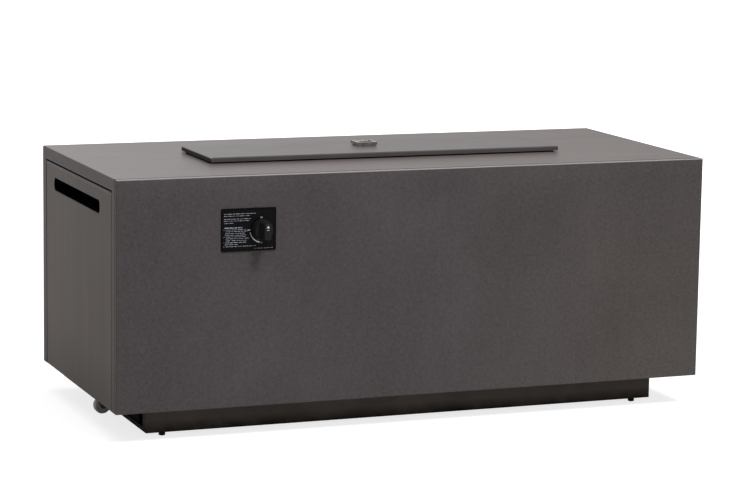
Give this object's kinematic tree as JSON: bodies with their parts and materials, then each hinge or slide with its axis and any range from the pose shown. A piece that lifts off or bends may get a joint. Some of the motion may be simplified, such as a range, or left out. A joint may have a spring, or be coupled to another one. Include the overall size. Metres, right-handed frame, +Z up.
{
  "type": "gas fire table",
  "caption": "Long rectangular gas fire table: cast panels on a recessed plinth, lidded fire pan, side control knob and an end drawer for the gas cylinder.",
  "frame": {"origin": "on the floor under the centre of the casing's footprint (the knob stands out in front of the casing)", "axes": "+X along the length, away from the drawer end; +Y from the control side to the back; +Z up"},
  "size_m": [1.422, 0.6715, 0.6116],
  "materials": {
    "cast_stone": "matte",
    "frame_steel": "satin",
    "plinth_steel": "matte",
    "zinc_steel": "satin",
    "stainless": "satin",
    "brass": "satin",
    "valve_aluminium": "satin",
    "igniter_ceramic": "gloss",
    "magnet_black": "matte",
    "control_black": "gloss",
    "knob_black": "satin",
    "stem_steel": "satin",
    "liner_black": "matte",
    "caster_grey": "matte",
    "foot_black": "matte",
    "lid_coated": "matte",
    "bumper_rubber": "matte",
    "pull_nickel": "satin"
  },
  "bodies": {
    "table": {"top_slab": "cast_stone", "front_panel": "cast_stone", "back_panel": "cast_stone", "right_end_panel": "cast_stone", "frame_posts": "frame_steel", "frame_top_rails": "frame_steel", "frame_top_crossbars": "frame_steel", "frame_bottom_rails": "frame_steel", "frame_bottom_crossbars": "frame_steel", "base_deck": "frame_steel", "panel_screws": "zinc_steel", "plinth_front": "plinth_steel", "plinth_back": "plinth_steel", "plinth_right_end": "plinth_steel", "plinth_left_rail": "plinth_steel", "foot_nuts": "zinc_steel", "magnet_catches": "magnet_black", "slide_outer_members": "zinc_steel", "slide_channels": "frame_steel", "burner_pan": "stainless", "burner_tube": "stainless", "burner_brackets": "stainless", "air_mixer": "brass", "gas_pipe": "valve_aluminium", "pipe_nuts": "brass", "igniter_electrode": "igniter_ceramic", "thermocouple": "stainless", "heat_shield": "zinc_steel", "shield_hangers": "zinc_steel", "control_plate": "control_black", "valve_bracket": "zinc_steel", "gas_valve": "valve_aluminium", "inlet_fitting": "brass"},
    "tank_drawer": {"drawer_front": "cast_stone", "pull_liner": "liner_black", "strike_plates": "zinc_steel", "drawer_uprights": "frame_steel", "drawer_bolts": "zinc_steel", "tank_tray": "frame_steel", "tank_ring": "frame_steel", "slide_inner_members": "zinc_steel", "caster_fork": "caster_grey", "caster_axle": "zinc_steel"},
    "slide_middles": {"slide_middle_members": "zinc_steel"},
    "caster_roller": {"caster_wheel": "caster_grey"},
    "clamp_screw": {"tank_screw": "zinc_steel"},
    "lid": {"lid_plate": "lid_coated", "lid_stiffener": "lid_coated", "lid_bumpers": "bumper_rubber", "pull_base": "pull_nickel", "pull_pin": "pull_nickel", "pull_screws": "pull_nickel"},
    "lid_pull_ring": {"pull_ring": "pull_nickel"},
    "valve_rotor": {"valve_plug": "brass"},
    "gas_knob": {"knob": "knob_black", "valve_stem": "stem_steel"},
    "foot_fl": {"foot_front_left": "foot_black"},
    "foot_fr": {"foot_front_right": "foot_black"},
    "foot_bl": {"foot_back_left": "foot_black"},
    "foot_br": {"foot_back_right": "foot_black"}
  },
  "joints": [
    {"name": "drawer_slide", "type": "slide", "parent": "table", "child": "tank_drawer", "axis": [-1, 0, 0], "range_m": [0, 0.4]},
    {"name": "slide_middle_travel", "type": "slide", "parent": "table", "child": "slide_middles", "axis": [-1, 0, 0], "range_m": [0, 0.2]},
    {"name": "caster_roll", "type": "hinge", "parent": "tank_drawer", "child": "caster_roller", "pos_m": [-0.655, 0, 0.024], "axis": [0, 1, 0], "continuous": true},
    {"name": "clamp_screw_travel", "type": "slide", "parent": "tank_drawer", "child": "clamp_screw", "axis": [0, -1, 0], "range_m": [0, 0.008]},
    {"name": "lid_lift", "type": "slide", "parent": "table", "child": "lid", "axis": [0, 0, 1], "range_m": [0, 0.25]},
    {"name": "pull_ring_hinge", "type": "hinge", "parent": "lid", "child": "lid_pull_ring", "pos_m": [-0.012, 0.0377, 0.6083], "axis": [-1, 0, 0], "range_deg": [0, 90]},
    {"name": "knob_turn", "type": "hinge", "parent": "table", "child": "valve_rotor", "pos_m": [-0.3796, -0.3185, 0.467], "axis": [0, -1, 0], "range_deg": [0, 180]},
    {"name": "knob_push", "type": "slide", "parent": "valve_rotor", "child": "gas_knob", "axis": [0, 1, 0], "range_m": [0, 0.003], "stiffness_N_per_m": 600, "springref_m": -0.004},
    {"name": "foot_turn_fl", "type": "hinge", "parent": "table", "child": "foot_fl", "pos_m": [-0.582, -0.232, 0], "axis": [0, 0, -1], "continuous": true},
    {"name": "foot_turn_fr", "type": "hinge", "parent": "table", "child": "foot_fr", "pos_m": [0.582, -0.232, 0], "axis": [0, 0, -1], "continuous": true},
    {"name": "foot_turn_bl", "type": "hinge", "parent": "table", "child": "foot_bl", "pos_m": [-0.582, 0.232, 0], "axis": [0, 0, -1], "continuous": true},
    {"name": "foot_turn_br", "type": "hinge", "parent": "table", "child": "foot_br", "pos_m": [0.582, 0.232, 0], "axis": [0, 0, -1], "continuous": true}
  ],
  "couplings": [
    {"joint": "slide_middle_travel", "follows": "drawer_slide", "ratio": 0.5}
  ]
}
